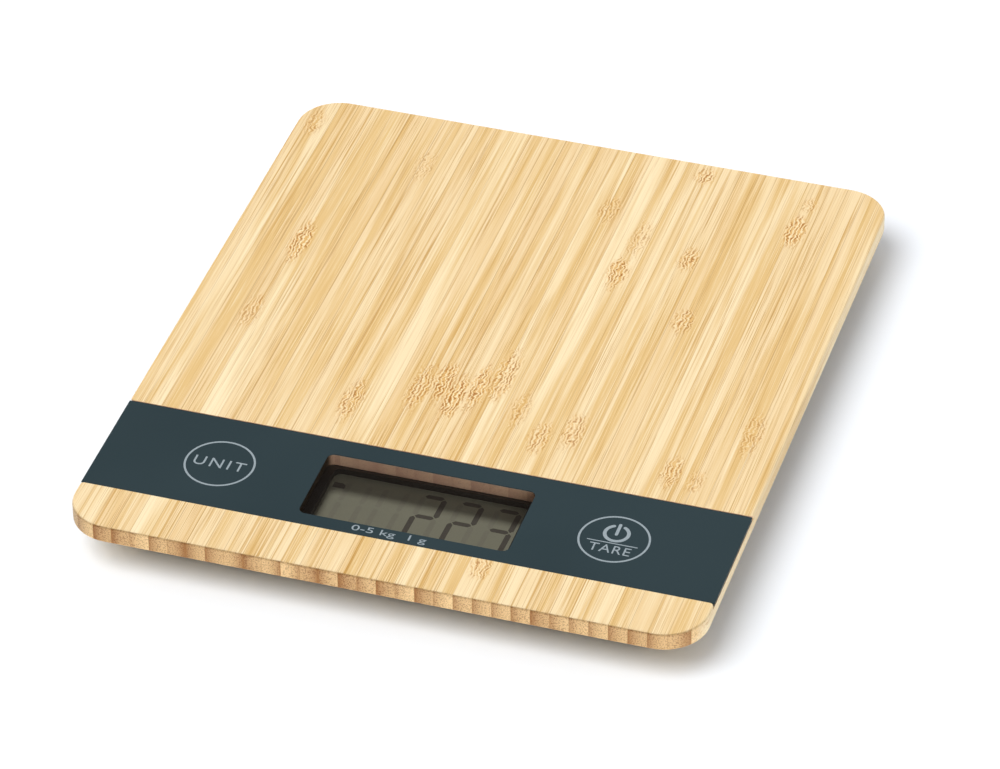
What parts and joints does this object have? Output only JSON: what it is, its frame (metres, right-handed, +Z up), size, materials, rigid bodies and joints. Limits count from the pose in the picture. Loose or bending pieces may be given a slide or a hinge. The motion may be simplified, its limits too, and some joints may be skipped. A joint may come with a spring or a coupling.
{
  "type": "kitchen scale",
  "caption": "Slim digital kitchen scale: rounded rectangular bamboo platform with a flush dark control band, a sunk display window, touch keys and a flat tray on rubber feet.",
  "frame": {"origin": "on the table under the middle of the scale's outline, at the height of the feet's undersides", "axes": "+X to the right as the user faces the display, +Y away from the user towards the back, +Z up"},
  "size_m": [0.17, 0.2, 0.0154],
  "materials": {
    "bamboo": "satin oiled bamboo, edge-grain strips",
    "smoked_sheet": "smoked clear acrylic, glossy",
    "printed_film": "satin dark blue-grey printed film",
    "adhesive": "double-sided adhesive sheet",
    "black_plastic": "fine-textured black plastic",
    "tray_plastic": "spark-textured black plastic",
    "polariser": "neutral polarising film",
    "display_glass": "clear thin glass",
    "reflector": "grey-green reflecting film",
    "connector_rubber": "silicone connector",
    "circuit_board": "green solder mask",
    "chip_resin": "black resin",
    "screw_steel": "zinc plated",
    "spring_metal": "gold flashed",
    "wire_cover": "white insulated wire",
    "load_cell_steel": "stamped spring steel",
    "gauge_resin": "sealing resin",
    "cell_steel": "polished cell can",
    "contact_metal": "plated contact strip",
    "foot_rubber": "soft dark rubber",
    "key_print": null,
    "display_segments": null
  },
  "bodies": {
    "scale_body": {"platform_board": "bamboo", "control_lens": "smoked_sheet", "control_overlay": "printed_film", "lens_adhesive": "adhesive", "display_frame": "black_plastic", "lcd_front_polariser": "polariser", "lcd_front_glass": "display_glass", "lcd_rear_glass": "display_glass", "lcd_reflector": "reflector", "zebra_strip": "connector_rubber", "main_board": "circuit_board", "board_chips": "chip_resin", "board_screws": "screw_steel", "frame_screws": "screw_steel", "touch_board_left": "circuit_board", "touch_board_right": "circuit_board", "touch_spring_left": "spring_metal", "touch_spring_right": "spring_metal", "touch_wires": "wire_cover", "base_tray": "tray_plastic", "base_screws": "screw_steel", "load_cell_front_left": "load_cell_steel", "load_cell_front_right": "load_cell_steel", "load_cell_rear_left": "load_cell_steel", "load_cell_rear_right": "load_cell_steel", "strain_gauge_front_left": "gauge_resin", "strain_gauge_front_right": "gauge_resin", "strain_gauge_rear_left": "gauge_resin", "strain_gauge_rear_right": "gauge_resin", "cell_clamp_front_left": "black_plastic", "cell_clamp_front_right": "black_plastic", "cell_clamp_rear_left": "black_plastic", "cell_clamp_rear_right": "black_plastic", "clamp_screws": "screw_steel", "cell_wires_front_left": "wire_cover", "cell_wires_front_right": "wire_cover", "cell_wires_rear_left": "wire_cover", "cell_wires_rear_right": "wire_cover", "battery_holder": "black_plastic", "holder_screws": "screw_steel", "coin_cell": "cell_steel", "contact_positive": "contact_metal", "contact_negative": "contact_metal", "battery_wires": "wire_cover"},
    "foot_front_left": {"foot_plunger_front_left": "black_plastic", "foot_pad_front_left": "foot_rubber"},
    "foot_front_right": {"foot_plunger_front_right": "black_plastic", "foot_pad_front_right": "foot_rubber"},
    "foot_rear_left": {"foot_plunger_rear_left": "black_plastic", "foot_pad_rear_left": "foot_rubber"},
    "foot_rear_right": {"foot_plunger_rear_right": "black_plastic", "foot_pad_rear_right": "foot_rubber"},
    "battery_cover": {"battery_cover": "tray_plastic"}
  },
  "joints": [
    {"name": "foot_front_left_drop", "type": "slide", "parent": "scale_body", "child": "foot_front_left", "axis": [0, 0, -1], "range_m": [0, 0.00038]},
    {"name": "foot_front_right_drop", "type": "slide", "parent": "scale_body", "child": "foot_front_right", "axis": [0, 0, -1], "range_m": [0, 0.00038]},
    {"name": "foot_rear_left_drop", "type": "slide", "parent": "scale_body", "child": "foot_rear_left", "axis": [0, 0, -1], "range_m": [0, 0.00038]},
    {"name": "foot_rear_right_drop", "type": "slide", "parent": "scale_body", "child": "foot_rear_right", "axis": [0, 0, -1], "range_m": [0, 0.00038]},
    {"name": "battery_cover_twist", "type": "hinge", "parent": "scale_body", "child": "battery_cover", "pos_m": [0, 0.035, 0.003], "axis": [0, 0, -1], "range_deg": [0, 45]}
  ]
}
